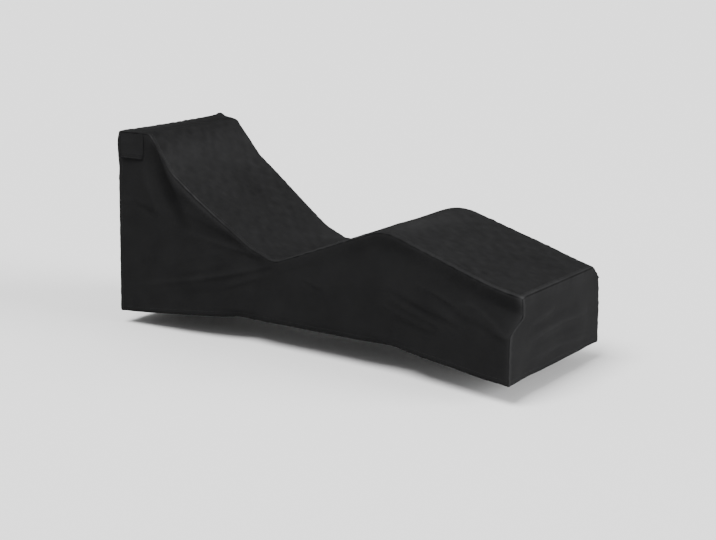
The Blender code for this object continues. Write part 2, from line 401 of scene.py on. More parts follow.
@dataclass(frozen=True)
class Side:
    """The shape of one long side of the cover."""

    stations: tuple[Station, ...]
    # Creases that lift the side; through FOLD_SHADE each is also painted paler on its ridge and darker in
    # its trough, painted light and shade.
    creases: tuple[Crease, ...]
    tucks: tuple[Tuck, ...]
    nips: tuple[Patch, ...]
    drawn: tuple[Drawn, ...]
    seed: int
    tuck_height: float = 0.035
    edge_hold: float = 0.022
    # The shortest and the longest wave of the seam's own wander, and its height.
    wander: Triple = (0.11, 0.40, 0.0010)

    def read(self, name: str, distance: Array) -> Array:
        """Read one of the stations' sizes smoothly along the chair.

        Args:
            name: The size, as the stations name it.
            distance: Places along the chair.

        Returns:
            The size at each place.
        """
        places = np.array([station.distance for station in self.stations])
        values = np.array([getattr(station, name) for station in self.stations])
        return smooth_between(distance, places, values)

    def edge(self, distance: Array) -> Array:
        """Half width at the seam with the top panel, a millimetre or so uneven along the seam."""
        wander = Ripples(self.seed, *self.wander).read(distance, np.zeros_like(distance))
        return self.read("edge", distance) + wander

    def section(self, distance: Array, drop: Array, hem_drop: Array) -> Array:
        """Half width down the side, before creases.

        Formula: edge, plus smooth steps to the waist and on to the shelf, plus a straight run from
        there to the hem.

        Args:
            distance: Places along the chair.
            drop: How far below the seam.
            hem_drop: How far below the seam the hem is.

        Returns:
            Half widths.
        """
        edge = self.edge(distance)
        waist, shelf, hem = (self.read(name, distance) for name in ("waist", "shelf", "hem"))
        waist_drop = self.read("waist_drop", distance)
        shelf_drop = self.read("shelf_drop", distance)
        to_waist = smooth_step(drop / waist_drop)
        to_shelf = smooth_step((drop - waist_drop) / (shelf_drop - waist_drop))
        to_hem = np.clip((drop - shelf_drop) / (hem_drop - shelf_drop), 0.0, 1.0)
        return edge + (waist - edge) * to_waist + (shelf - waist) * to_shelf + (hem - shelf) * to_hem


RIGHT_SIDE = Side(
    stations=(
        Station(0.000, 0.002, 0.300, 0.040, 0.310, 0.220, 0.311, 0.328, 0.050),
        Station(0.130, 0.006, 0.262, 0.060, 0.262, 0.190, 0.292, 0.322, 0.060),
        Station(0.190, 0.006, 0.266, 0.065, 0.266, 0.180, 0.288, 0.318, 0.066),
        Station(0.270, 0.010, 0.264, 0.058, 0.254, 0.170, 0.284, 0.314, 0.075),
        Station(0.430, 0.012, 0.2565, 0.045, 0.239, 0.150, 0.268, 0.296, 0.089),
        Station(0.570, 0.006, 0.243, 0.040, 0.235, 0.120, 0.257, 0.272, 0.097),
        Station(0.705, 0.005, 0.237, 0.040, 0.239, 0.110, 0.254, 0.268, 0.0995),
        Station(0.950, 0.005, 0.246, 0.050, 0.245, 0.150, 0.263, 0.268, 0.101),
        Station(1.240, 0.006, 0.262, 0.060, 0.254, 0.200, 0.283, 0.272, 0.103),
        Station(1.480, 0.006, 0.269, 0.060, 0.259, 0.180, 0.299, 0.300, 0.0895),
        Station(1.660, 0.006, 0.267, 0.058, 0.253, 0.145, 0.316, 0.317, 0.075),
        Station(1.745, 0.006, 0.243, 0.055, 0.238, 0.117, 0.323, 0.325, 0.071),
    ),
    creases=(
        Crease((0.150, 0.718), (0.175, 0.565), (0.325, 0.390), -0.0145, 0.0195),
        Crease((0.105, 0.640), (0.135, 0.545), (0.215, 0.425), 0.005, 0.015),
        Crease((0.060, 0.492), (0.120, 0.478), (0.185, 0.438), -0.006, 0.009, 1.6),
        Crease((0.000, 0.495), (0.070, 0.505), (0.150, 0.470), 0.004, 0.010),
        Crease((0.235, 0.578), (0.360, 0.484), (0.490, 0.395), 0.0065, 0.024, 2.4),
        Crease((0.300, 0.450), (0.430, 0.402), (0.560, 0.352), -0.0045, 0.016),
        Crease((0.300, 0.402), (0.430, 0.368), (0.600, 0.338), 0.0055, 0.010, 1.6),
        Crease((0.420, 0.352), (0.520, 0.335), (0.640, 0.318), -0.0034, 0.010, 1.6),
        Crease((0.695, 0.312), (0.500, 0.238), (0.040, 0.160), 0.0052, 0.010, 1.5),
        Crease((0.690, 0.298), (0.580, 0.260), (0.380, 0.205), -0.0024, 0.012),
        Crease((0.690, 0.285), (0.560, 0.225), (0.420, 0.180), 0.0024, 0.009),
        Crease((0.640, 0.250), (0.480, 0.190), (0.300, 0.150), -0.0024, 0.016),
        Crease((0.158, 0.300), (0.168, 0.282), (0.172, 0.262), 0.003, 0.010),
        Crease((0.835, 0.292), (0.890, 0.280), (0.950, 0.262), 0.0020, 0.007),
        Crease((0.840, 0.280), (0.890, 0.266), (0.960, 0.245), -0.0020, 0.008),
        Crease((1.235, 0.312), (1.300, 0.292), (1.395, 0.262), -0.0032, 0.010),
        Crease((1.340, 0.280), (1.430, 0.247), (1.545, 0.226), -0.0035, 0.011),
        Crease((1.385, 0.335), (1.450, 0.306), (1.545, 0.270), -0.0044, 0.011),
        Crease((1.520, 0.272), (1.630, 0.255), (1.742, 0.205), -0.0058, 0.011),
        Crease((1.340, 0.354), (1.420, 0.330), (1.510, 0.300), 0.006, 0.009, 1.6),
        Crease((1.255, 0.285), (1.360, 0.250), (1.480, 0.215), 0.003, 0.010),
        Crease((1.255, 0.212), (1.350, 0.200), (1.450, 0.178), -0.0029, 0.011),
        Crease((1.180, 0.262), (1.310, 0.232), (1.440, 0.198), 0.0022, 0.009),
        Crease((1.545, 0.318), (1.640, 0.285), (1.735, 0.228), 0.006, 0.009, 1.6),
        Crease((1.510, 0.300), (1.560, 0.308), (1.610, 0.306), 0.003, 0.008),
        Crease((1.600, 0.305), (1.670, 0.270), (1.725, 0.245), -0.004, 0.007),
    ),
    tucks=(
        Tuck(0.565, 0.060, 0.014),
        Tuck(1.235, 0.070, 0.014),
        Tuck(0.900, 0.330, 0.008),
    ),
    nips=(Patch(0.000, 0.620, 0.100, 0.035, 0.0045),),
    drawn=(
        Drawn(Patch(1.450, 0.270, 0.200, 0.070), -0.42, 95),
        Drawn(Patch(0.420, 0.270, 0.260, 0.080), 0.28, 96),
        Drawn(Patch(0.420, 0.420, 0.160, 0.060), -0.45, 97),
    ),
    seed=11,
)

LEFT_SIDE = Side(
    stations=(
        Station(0.000, 0.004, 0.299, 0.040, 0.304, 0.160, 0.306, 0.325, 0.050),
        Station(0.130, 0.005, 0.262, 0.060, 0.264, 0.190, 0.296, 0.322, 0.060),
        Station(0.190, 0.005, 0.268, 0.055, 0.265, 0.180, 0.292, 0.318, 0.067),
        Station(0.270, 0.005, 0.268, 0.050, 0.264, 0.170, 0.288, 0.314, 0.075),
        Station(0.430, 0.005, 0.256, 0.045, 0.253, 0.150, 0.270, 0.296, 0.089),
        Station(0.570, 0.005, 0.244, 0.040, 0.245, 0.120, 0.258, 0.272, 0.097),
        Station(0.705, 0.005, 0.238, 0.040, 0.241, 0.110, 0.256, 0.268, 0.099),
        Station(0.950, 0.005, 0.248, 0.050, 0.250, 0.150, 0.266, 0.268, 0.100),
        Station(1.240, 0.006, 0.265, 0.050, 0.269, 0.150, 0.291, 0.272, 0.099),
        Station(1.480, 0.006, 0.273, 0.030, 0.280, 0.110, 0.304, 0.308, 0.081),
        Station(1.660, 0.010, 0.279, 0.030, 0.290, 0.090, 0.308, 0.320, 0.070),
        Station(1.745, 0.025, 0.289, 0.032, 0.313, 0.070, 0.319, 0.326, 0.067),
    ),
    creases=(
        Crease((0.170, 0.700), (0.220, 0.560), (0.360, 0.440), -0.012, 0.022),
        Crease((0.665, 0.315), (0.480, 0.300), (0.250, 0.250), 0.006, 0.016, 1.4),
        Crease((0.700, 0.310), (0.880, 0.290), (1.080, 0.250), 0.005, 0.016, 1.4),
        Crease((1.380, 0.400), (1.500, 0.320), (1.700, 0.230), -0.006, 0.018),
    ),
    tucks=RIGHT_SIDE.tucks,
    nips=(),
    drawn=(
        Drawn(Patch(1.480, 0.280, 0.180, 0.070), -0.42, 98),
        Drawn(Patch(0.420, 0.290, 0.240, 0.080), 0.20, 99),
    ),
    seed=12,
)

# Creases on the foot panel; through FOLD_SHADE they are also painted paler on their ridges and darker in
# their troughs, painted light and shade.
FOOT_CREASES = (
    Crease((-0.205, 0.256), (-0.120, 0.262), (-0.030, 0.279), 0.0060, 0.010),
    Crease((-0.222, 0.203), (-0.010, 0.224), (0.220, 0.210), 0.0074, 0.011),
    Crease((-0.222, 0.127), (0.010, 0.147), (0.270, 0.104), 0.0052, 0.011),
    Crease((-0.110, 0.186), (-0.050, 0.196), (0.020, 0.190), 0.0018, 0.008),
    Crease((-0.200, 0.236), (-0.040, 0.240), (0.140, 0.252), -0.0030, 0.012),
    Crease((-0.200, 0.166), (-0.020, 0.178), (0.200, 0.168), -0.0030, 0.012),
)

# Painted light and shade on the top panel: paler and darker patches, the strongest a painted highlight on
# the knee's crown.
TOP_PATCHES = (
    Patch(1.225, -0.060, 0.050, 0.110, 0.28),
    Patch(1.180, -0.150, 0.090, 0.080, 0.06),
    Patch(0.370, 0.070, 0.060, 0.050, -0.12),
    Patch(0.670, 0.190, 0.040, 0.050, 0.16),
    Patch(0.565, 0.140, 0.045, 0.060, -0.10),
    Patch(0.590, 0.000, 0.030, 0.080, 0.10),
    Patch(0.285, 0.080, 0.040, 0.050, -0.08),
    Patch(0.340, -0.100, 0.050, 0.040, 0.06),
    Patch(0.200, 0.000, 0.030, 0.100, 0.05),
    Patch(1.670, 0.080, 0.080, 0.090, -0.07),
)

# Creases on the top panel; through FOLD_SHADE they are also painted paler on their ridges and darker in
# their troughs, painted light and shade.
TOP_CREASES = (
    Crease((0.138, -0.200), (0.140, 0.030), (0.134, 0.240), -0.0025, 0.007),
    Crease((0.175, -0.150), (0.182, -0.020), (0.172, 0.120), 0.0012, 0.006),
    Crease((0.205, -0.060), (0.198, 0.060), (0.210, 0.200), -0.0012, 0.007),
    Crease((0.240, -0.180), (0.262, -0.060), (0.245, 0.060), -0.0012, 0.008),
    Crease((0.655, -0.222), (0.700, -0.195), (0.690, -0.130), -0.0030, 0.007),
    Crease((0.640, -0.200), (0.672, -0.165), (0.668, -0.110), 0.0025, 0.006),
    Crease((0.600, -0.225), (0.640, -0.205), (0.672, -0.212), 0.0020, 0.006),
    Crease((1.130, -0.150), (1.180, -0.090), (1.170, 0.020), 0.0020, 0.012),
)


@dataclass
class Shape:
    """The whole cover's shape, placed in the part's frame."""

    wave: Wave
    right: Side
    left: Side
    edge_roll: float = 0.030
    most_rolled: float = 1.5
    seat_sag: float = 0.006
    seat_starts: float = 0.20
    seat_fades_in: float = 0.25
    seat_ends: float = 1.15
    seat_fades_out: float = 0.30
    cap_slack: Table = Table(((-0.010, 0.0030), (0.000, 0.0030), (0.040, 0.0060), (0.075, 0.0075),
                              (0.105, 0.0035), (0.122, 0.0), (0.140, 0.0)))
    ear_rise: float = 0.008
    ear_size: float = 0.030
    run_steps: int = 300

    def __post_init__(self) -> None:
        """Set the shape out, with its rear face and its lowest hem where the frame has them."""
        self.outline = self.wave.outline()
        runs = np.hypot(*np.diff(self.outline, axis=0).T)
        along = np.concatenate(([0.0], np.cumsum(runs)))
        self.length = float(self.outline[-1, 0])
        self.rear_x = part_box("top_panel")[0].x
        self.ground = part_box("side_panel_right")[0].z - self.right.stations[0].hem_height
        self.run = graded(along[-1:], EDGE_INSETS, EDGE_INSETS, self.run_steps)[:, 0]
        self.distance = np.interp(self.run, along, self.outline[:, 0])

    def place(self, distance: Array, across: Array, height: Array) -> Array:
        """Distance, place across and height as points in the part's frame."""
        distance, across, height = np.broadcast_arrays(distance, across, height)
        return np.stack((distance + self.rear_x, across, height + self.ground), axis=-1)

    def side(self, hand: Hand) -> Side:
        """The side on one hand."""
        return self.right if hand is Hand.RIGHT else self.left

    def top(self, distance: Array, across: Array) -> Array:
        """Height of the top panel before its seams.

        Formula: the wave, less a rolled edge on each side that deepens with the square of how
        near the edge is, less a slack that is a parabola across the seat and cap, plus an ear at
        the rear left corner.

        Args:
            distance: Places along the chair.
            across: Places across it.

        Returns:
            Heights above the ground.
        """
        right, left = self.right.edge(distance), self.left.edge(distance)
        height = np.interp(distance, self.outline[:, 0], self.outline[:, 1])
        for side, gap in ((self.right, right + across), (self.left, left - across)):
            near = np.clip(1.0 - gap / self.edge_roll, 0.0, self.most_rolled)
            height = height - side.read("roll", distance) * near**2
        middle, reach = (left - right) / 2.0, (left + right) / 2.0
        belly = 1.0 - np.clip((across - middle) / reach, -1.0, 1.0) ** 2
        seat = smooth_step((distance - self.seat_starts) / self.seat_fades_in)
        seat = seat * smooth_step((self.seat_ends - distance) / self.seat_fades_out)
        height = height - belly * (self.seat_sag * seat + self.cap_slack.read(distance))
        return height + self.ear_rise * bell(np.hypot(distance, left - across), self.ear_size)

    def seam_height(self, hand: Hand, distance: Array) -> Array:
        """Height of the top panel's very edge on one side, where its lip has curled down."""
        across = hand.value * self.side(hand).edge(distance)
        return self.top(distance, across) - LIP_DROP

    def half_width(self, hand: Hand, distance: Array, height: Array) -> Array:
        """How far out one side hangs.

        Formula: the section, plus its creases held still near the seams, less the hem's tucks,
        each a bell along the hem that fades with height, less its nips.

        Args:
            hand: Which side.
            distance: Places along the chair.
            height: Heights above the ground.

        Returns:
            Half widths.
        """
        side = self.side(hand)
        seam = self.top(distance, hand.value * side.edge(distance))
        hem_height = side.read("hem_height", distance)
        drop = seam - height
        out = side.section(distance, drop, seam - hem_height)
        hold = side.edge_hold
        held = smooth_step(drop / hold) * smooth_step(distance / hold)
        held = held * smooth_step((self.length - distance) / hold)
        low = 1.0 - smooth_step((height - hem_height) / side.tuck_height)
        tucks = sum(tuck.depth * bell(distance - tuck.distance, tuck.reach) for tuck in side.tucks)
        nips = sum(nip.read(distance, height) for nip in side.nips)
        return out + held * self.folds(hand, distance, height) - low * tucks - nips

    def folds(self, hand: Hand, distance: Array, height: Array) -> Array:
        """How far one side's creases lift it, however near a seam."""
        return sum(crease.read(distance, height) for crease in self.side(hand).creases)


def lip(inset: Array) -> Array:
    """How far a seamed edge curls in: it deepens with the square of nearness, within the lip."""
    return LIP_DROP * np.clip(1.0 - inset / LIP, 0.0, 1.0) ** 2


@dataclass(frozen=True)
class Layers:
    """Extra layers of cloth along an edge: how wide, how far they stand up, and their thread."""

    band: float
    rise: float
    step: float
    thread: float = 0.0
    nip: float = 0.0
    nip_half_width: float = 1.0

    def read(self, inset: Array) -> Array:
        """How far the edge stands up: flat over the band, a step down past it, a nip at its thread."""
        flat = self.rise * (1.0 - smooth_step((inset - self.band) / self.step))
        return flat - self.nip * bell(inset - self.thread, self.nip_half_width)


SEAM_LAP = Layers(0.0175, 0.0007, 0.0022, STITCH_INSET, 0.0006, 0.0018)
HEM_FOLD = Layers(0.0200, 0.0006, 0.0030, HEM_STITCH, 0.0003, 0.0016)
FLAP_FOLD = Layers(0.0120, 0.0006, 0.0020)


@dataclass(frozen=True)
class Pucker:
    """Small gathers along a stitched seam: ripples along it that fade out away from it."""

    shortest: float = 0.018
    longest: float = 0.045
    height: float = 0.00050
    reach: float = 0.026
    slant: float = 0.35

    def read(self, run: Array, inset: Array, seed: int) -> Array:
        """The lift at places along the seam and in from it."""
        gathers = Ripples(seed, self.shortest, self.longest, self.height).read(run, self.slant * inset)
        return gathers * bell(inset, self.reach)

    def along(self, seed: int, *seams: tuple[Array, Array], step: int = 1) -> Array:
        """The lift of several seams: each its places along and in from it, and its own seed."""
        return sum(self.read(*seam, seed + step * number) for number, seam in enumerate(seams))


@dataclass(frozen=True)
class Edging:
    """A paler band beside an edge, or a darker one below zero: how far in, how wide, how strong."""

    inset: float
    half_width: float
    strength: float = 1.0

    def read(self, inset: Array) -> Array:
        """What the band adds to the tint: a bell about its own inset."""
        return self.strength * bell(inset - self.inset, self.half_width)


@dataclass(frozen=True)
class SeamRubAndHighlight:
    """Where a lapped seam is painted pale, partly rubbed and partly a painted highlight on its crest and
    bead, and the painted shade in the grooves on both sides of that.
    """

    crest: Edging = Edging(0.0042, 0.0022)
    bead_width: float = 0.0130
    meeting: Edging = Edging(0.0, 0.0016, 0.45)
    bead_end: Edging = Edging(0.0180, 0.0022, 0.40)

    def read(self, inset: Array, line: Array | float, bead: Array | float) -> Array:
        """How much paler a lapped seam is than the cloth beside it.

        Formula: a thin bell on the seam's crest and a wide one over its whole bead, partly rubbing and
        partly painted highlight, and painted shade in darker lines where the two cloths meet and along the
        bead's own edge.

        Args:
            inset: Distance in from the edge.
            line: Strength of the crest's line.
            bead: Strength of the bead's.

        Returns:
            What the seam adds to the cloth's tint.
        """
        wide = np.exp(-((inset / self.bead_width) ** 4))
        # Painted shade in the seam's grooves.
        dark = self.meeting.read(inset) + bead * self.bead_end.read(inset)
        return line * self.crest.read(inset) + bead * wide - dark


PUCKER = Pucker()
SEAM_RUB_AND_HIGHLIGHT = SeamRubAndHighlight()


class Nodes:
    """A short way to add and join the nodes of a finish or of the sky."""

    def __init__(self, tree: bpy.types.NodeTree) -> None:
        """Take the tree that the nodes are in."""
        self.tree = tree

    def add(self, kind: str, inputs: dict | None = None, **settings: str) -> bpy.types.Node:
        """Add a node.

        Args:
            kind: Its type, after "ShaderNode".
            inputs: A value for each input by name or number, or the output that feeds it.
            settings: The node's own settings, such as what a Math node works out.

        Returns:
            The new node.
        """
        node = self.tree.nodes.new("ShaderNode" + kind)
        for name, value in settings.items():
            setattr(node, name, value)
        return self.feed(node, inputs or {})

    def feed(self, node: bpy.types.Node, inputs: dict) -> bpy.types.Node:
        """Give a node's inputs their values, or join outputs to them.

        Args:
            node: The node.
            inputs: A value or an output for each input, by name or number.

        Returns:
            The same node.
        """
        for key, value in inputs.items():
            if isinstance(value, bpy.types.NodeSocket):
                self.tree.links.new(value, node.inputs[key])
            else:
                node.inputs[key].default_value = value
        return node


@dataclass(frozen=True)
class Finish:
    """What every finish shares: its name, its colour and how its shader is set."""

    name: str
    colour: Triple
    roughness: float
    specular: float

    def make(self) -> Material:
        """Build the material, with its own colour and bump over the shared shader.

        Returns:
            The material.
        """
        material = bpy.data.materials.new(self.name)
        material.use_nodes = True
        nodes = Nodes(material.node_tree)
        shared = {"Roughness": self.roughness, "Specular IOR Level": self.specular}
        nodes.feed(nodes.tree.nodes["Principled BSDF"], shared | self.dress(nodes))
        return material

    def dress(self, nodes: Nodes) -> dict:
        """The shader's inputs that this finish works out: here a plain colour."""
        return {"Base Color": (*self.colour, 1.0)}


@dataclass(frozen=True)
class CoverCloth(Finish):
    """Matt black plain-weave polyester: fine weave, faint mottling, rubbed a little at its seams, with
    painted light and shade carried in the sheet's tint.
    """

    name: str = "black_cover_cloth"
    colour: Triple = (0.0118, 0.0118, 0.0121)
    roughness: float = 0.90
    specular: float = 0.03
    threads_per_metre: float = 900.0
    thread_height: float = 0.00025
    crinkle_height: float = 0.0012

    def dress(self, nodes: Nodes) -> dict:
        """Mottled colour times the sheet's tint, which carries painted light and shade, over bumps of
        weave and crinkles.

        Args:
            nodes: The material's nodes.

        Returns:
            The shader's colour and normal. The weave follows the sheet's own map, in metres.
        """
        place = nodes.add("TexCoord").outputs["Object"]
        mottle = nodes.add("TexNoise", {"Vector": place, "Scale": 9.0, "Detail": 5.0, "Roughness": 0.62})
        tone = nodes.add("MapRange", {"Value": mottle.outputs["Fac"], "From Min": 0.30,
                                      "From Max": 0.70, "To Min": 0.90, "To Max": 1.10})
        tint = nodes.add("Attribute", attribute_name=TINT)
        tint_times_tone = nodes.add("Math", {0: tint.outputs["Fac"], 1: tone.outputs["Result"]}, operation="MULTIPLY")
        shade = nodes.add("VectorMath", {"Vector": self.colour, "Scale": tint_times_tone.outputs["Value"]},
                          operation="SCALE")
        weave = nodes.add("Bump", {"Height": self.weave_height(nodes), "Strength": 0.35,
                                   "Distance": self.thread_height})
        crinkle = nodes.add("TexNoise", {"Vector": place, "Scale": 70.0, "Detail": 3.0})
        crumple = nodes.add("Bump", {"Height": crinkle.outputs["Fac"], "Normal": weave.outputs["Normal"],
                                     "Strength": 0.30, "Distance": self.crinkle_height})
        return {"Base Color": shade.outputs["Vector"], "Normal": crumple.outputs["Normal"]}

    def weave_height(self, nodes: Nodes) -> bpy.types.NodeSocket:
        """Height of a plain weave: warp and weft ridges at right angles, multiplied together.

        Args:
            nodes: The material's nodes.

        Returns:
            The output that carries the height.
        """
        grid = nodes.add("UVMap", uv_map=WEAVE_MAP)
        parts = nodes.add("SeparateXYZ", {"Vector": grid.outputs["UV"]})
        ridges = {}
        for number, name in enumerate(("X", "Y")):
            turns = nodes.add("Math", {0: parts.outputs[name], 1: math.pi * self.threads_per_metre},
                              operation="MULTIPLY")
            ridge = nodes.add("Math", {0: turns.outputs["Value"]}, operation="SINE")
            ridges[number] = ridge.outputs["Value"]
        return nodes.add("Math", ridges, operation="MULTIPLY").outputs["Value"]


@dataclass(frozen=True)
class SewingThread(Finish):
    """Black twisted polyester thread, a little glossier than the cloth."""

    name: str = "black_sewing_thread"
    colour: Triple = (0.0105, 0.0105, 0.0109)
    roughness: float = 0.80
    specular: float = 0.50
    twist_height: float = 0.0002

    def dress(self, nodes: Nodes) -> dict:
        """A fine twist: a fifth lighter or darker than the colour, with a bump.

        Args:
            nodes: The material's nodes.

        Returns:
            The shader's colour and normal.
        """
        place = nodes.add("TexCoord").outputs["Object"]
        twist = nodes.add("TexNoise", {"Vector": place, "Scale": 900.0}).outputs["Fac"]
        dark, light = ((*[share * part for part in self.colour], 1.0) for share in (0.8, 1.2))
        tone = nodes.add("Mix", {"Factor": twist, "A": dark, "B": light}, data_type="RGBA")
        bump = nodes.add("Bump", {"Height": twist, "Strength": 0.4, "Distance": self.twist_height})
        return {"Base Color": tone.outputs["Result"], "Normal": bump.outputs["Normal"]}


@dataclass(frozen=True)
class PaleFloor(Finish):
    """A plain pale studio floor."""

    name: str = "pale_floor"
    colour: Triple = (0.93, 0.93, 0.93)
    roughness: float = 0.95
    specular: float = 0.10


def mesh_piece(name: str, points: Array, faces: Array, material: Material) -> bpy.types.Object:
    """Make a smooth mesh object from arrays.

    Args:
        name: The piece's name.
        points: Vertices by 3.
        faces: Faces by corners, all with the same number of corners.
        material: Its finish.

    Returns:
        The new object, linked to the scene.
    """
    mesh = bpy.data.meshes.new(name)
    mesh.vertices.add(len(points))
    mesh.vertices.foreach_set("co", np.ascontiguousarray(points, np.float32).ravel())
    mesh.loops.add(faces.size)
    mesh.loops.foreach_set("vertex_index", np.ascontiguousarray(faces, np.int32).ravel())
    mesh.polygons.add(len(faces))
    mesh.polygons.foreach_set("loop_start", np.arange(len(faces), dtype=np.int32) * faces.shape[1])
    mesh.update(calc_edges=True)
    mesh.validate()
    mesh.shade_smooth()
    mesh.materials.append(material)
    piece = bpy.data.objects.new(name, mesh)
    bpy.context.scene.collection.objects.link(piece)
    return piece


@dataclass
class ClothGrid:
    """A sheet as a grid: its outer face, its map in metres, and its tint, how pale it is for its colour,
    which carries painted light and shade.
    """

    points: Array
    weave: Array
    tint: Array
    facing: Facing
    normals: Array = field(init=False)

    def __post_init__(self) -> None:
        """Work out the outward normals of the face."""
        self.normals = outward(self.points, self.facing)

    def lift(self, amount: Array) -> None:
        """Move the face out along its normals, and work the normals out again."""
        self.points = self.points + self.normals * amount[..., None]
        self.normals = outward(self.points, self.facing)

    def curl(self, *insets: Array) -> None:
        """Curl the lip at each edge in, one after the other, from how far in places are."""
        for inset in insets:
            self.lift(-lip(inset))

    def line(self, rows: int | slice, columns: int | slice) -> Line:
        """A row or a column of the grid, or a part of one: its points and its normals."""
        return self.points[rows, columns], self.normals[rows, columns]

    def make(self, name: str, thickness: float, material: Material) -> bpy.types.Object:
        """Turn the grid into a closed sheet whose thickness grows inwards.

        Args:
            name: The piece's name.
            thickness: The cloth's thickness.
            material: Its finish.

        Returns:
            The sheet.
        """
        rows, columns = self.points.shape[:2]
        index = np.arange(rows * columns).reshape(rows, columns)
        faces = np.stack((index[:-1, :-1], index[1:, :-1], index[1:, 1:], index[:-1, 1:]), axis=-1)
        faces = faces.reshape(-1, 4)
        if self.facing is Facing.TURNED:
            faces = faces[:, ::-1]
        sheet = mesh_piece(name, self.points.reshape(-1, 3), faces, material)
        layer = sheet.data.uv_layers.new(name=WEAVE_MAP)
        corners = np.empty(len(sheet.data.loops), np.int32)
        sheet.data.loops.foreach_get("vertex_index", corners)
        layer.data.foreach_set("uv", self.weave.reshape(-1, 2)[corners].astype(np.float32).ravel())
        tint = sheet.data.attributes.new(TINT, "FLOAT", "POINT")
        tint.data.foreach_set("value", np.clip(self.tint, *TINT_LIMITS).astype(np.float32).ravel())
        wall = sheet.modifiers.new("Thickness", "SOLIDIFY")
        wall.thickness = thickness
        wall.offset = -1.0
        wall.use_rim = True
        return sheet


@dataclass(frozen=True)
class Stitching:
    """A row of topstitches, each a short closed bar of thread lying on the cloth."""

    pitch: float = 0.0045
    length: float = 0.0033
    radius: float = 0.00036
    sides: int = 5
    straight: float = 0.30
    rise: float = 0.5
    dip: float = 0.8

    def make(self, name: str, rows: list[Line], material: Material) -> bpy.types.Object:
        """Lay stitches along lines on the cloth.

        Args:
            name: The piece's name.
            rows: For each line its points and the cloth's normals there.
            material: The thread.

        Returns:
            All the stitches as one mesh.
        """
        bars = np.concatenate([self.bars(*row) for row in rows])
        faces = self.faces()[None] + np.arange(len(bars))[:, None, None] * bars.shape[1]
        return mesh_piece(name, bars.reshape(-1, 3), faces.reshape(-1, 3), material)

    def bars(self, line: Array, normals: Array) -> Array:
        """The points of a line's stitches.

        Formula: the line is cut at even steps; each stitch has two rings of points about the
        line's own direction and a tip at each end, which dips into the cloth.

        Args:
            line: Points along the line.
            normals: The cloth's normals there.

        Returns:
            Stitches by points by 3.
        """
        steps = np.linalg.norm(np.diff(line, axis=0), axis=1)
        run = np.concatenate(([0.0], np.cumsum(steps)))
        middle = np.arange(self.pitch / 2.0, run[-1] - self.pitch / 2.0, self.pitch)

        def along(values: Array, at: Array) -> Array:
            """Read values at places along the line."""
            return np.stack([np.interp(at, run, values[:, axis]) for axis in range(3)], axis=-1)

        centre, up = along(line, middle), along(normals, middle)
        ahead = along(line, middle + self.length / 2) - along(line, middle - self.length / 2)
        ahead /= np.linalg.norm(ahead, axis=1, keepdims=True)
        up /= np.linalg.norm(up, axis=1, keepdims=True)
        aside = np.cross(up, ahead)
        angle = np.arange(self.sides) * 2.0 * math.pi / self.sides
        ring = np.cos(angle)[:, None] * up[:, None, :] + np.sin(angle)[:, None] * aside[:, None, :]
        ring = ring * self.radius
        lift, dip = up * self.radius * self.rise, up * self.radius * self.dip
        reach = ahead * self.length * self.straight
        parts = (
            (centre - ahead * self.length / 2 - dip)[:, None, :],
            (centre - reach + lift)[:, None, :] + ring,
            (centre + reach + lift)[:, None, :] + ring,
            (centre + ahead * self.length / 2 - dip)[:, None, :],
        )
        return np.concatenate(parts, axis=1)

    def faces(self) -> Array:
        """Triangles of one stitch: a fan at each tip and a band between the two rings.

        Returns:
            Faces by 3, as numbers of one stitch's points.
        """
        here = np.arange(self.sides)
        after = (here + 1) % self.sides
        near, far = 1 + here, 1 + self.sides + here
        near_after, far_after = 1 + after, 1 + self.sides + after
        last = 1 + 2 * self.sides
        return np.concatenate((
            np.stack((0 * here, near_after, near), axis=1),
            np.stack((near, near_after, far_after), axis=1),
            np.stack((near, far_after, far), axis=1),
            np.stack((far, far_after, 0 * here + last), axis=1),
        ))


@dataclass
class Panel:
    """What every panel of the cover shares: its names, its cut size and how it hangs."""

    shape: Shape
    cloth: Material
    thread: Material
    stitching: Stitching
    name: str = "panel"
    node: str = "node"
    flat: Pair = (1.0, 1.0)
    area: float = 1.0
    held: str = "hung"

    def grid(self) -> ClothGrid:
        """Work out the panel's grid."""
        raise NotImplementedError

    def seams(self, grid: ClothGrid) -> list[Line]:
        """The lines that are topstitched on this panel."""
        raise NotImplementedError

    def build(self) -> None:
        grid = self.grid()
        sheet = grid.make(self.name, CLOTH, self.cloth)
        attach(sheet, BODY)
        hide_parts(self.node)
        stitches = self.stitching.make(self.name + "_stitches", self.seams(grid), self.thread)
        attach(stitches, BODY)
        LOG.info("%s: %d points, %d stitch faces", self.name, grid.tint.size, len(stitches.data.polygons))


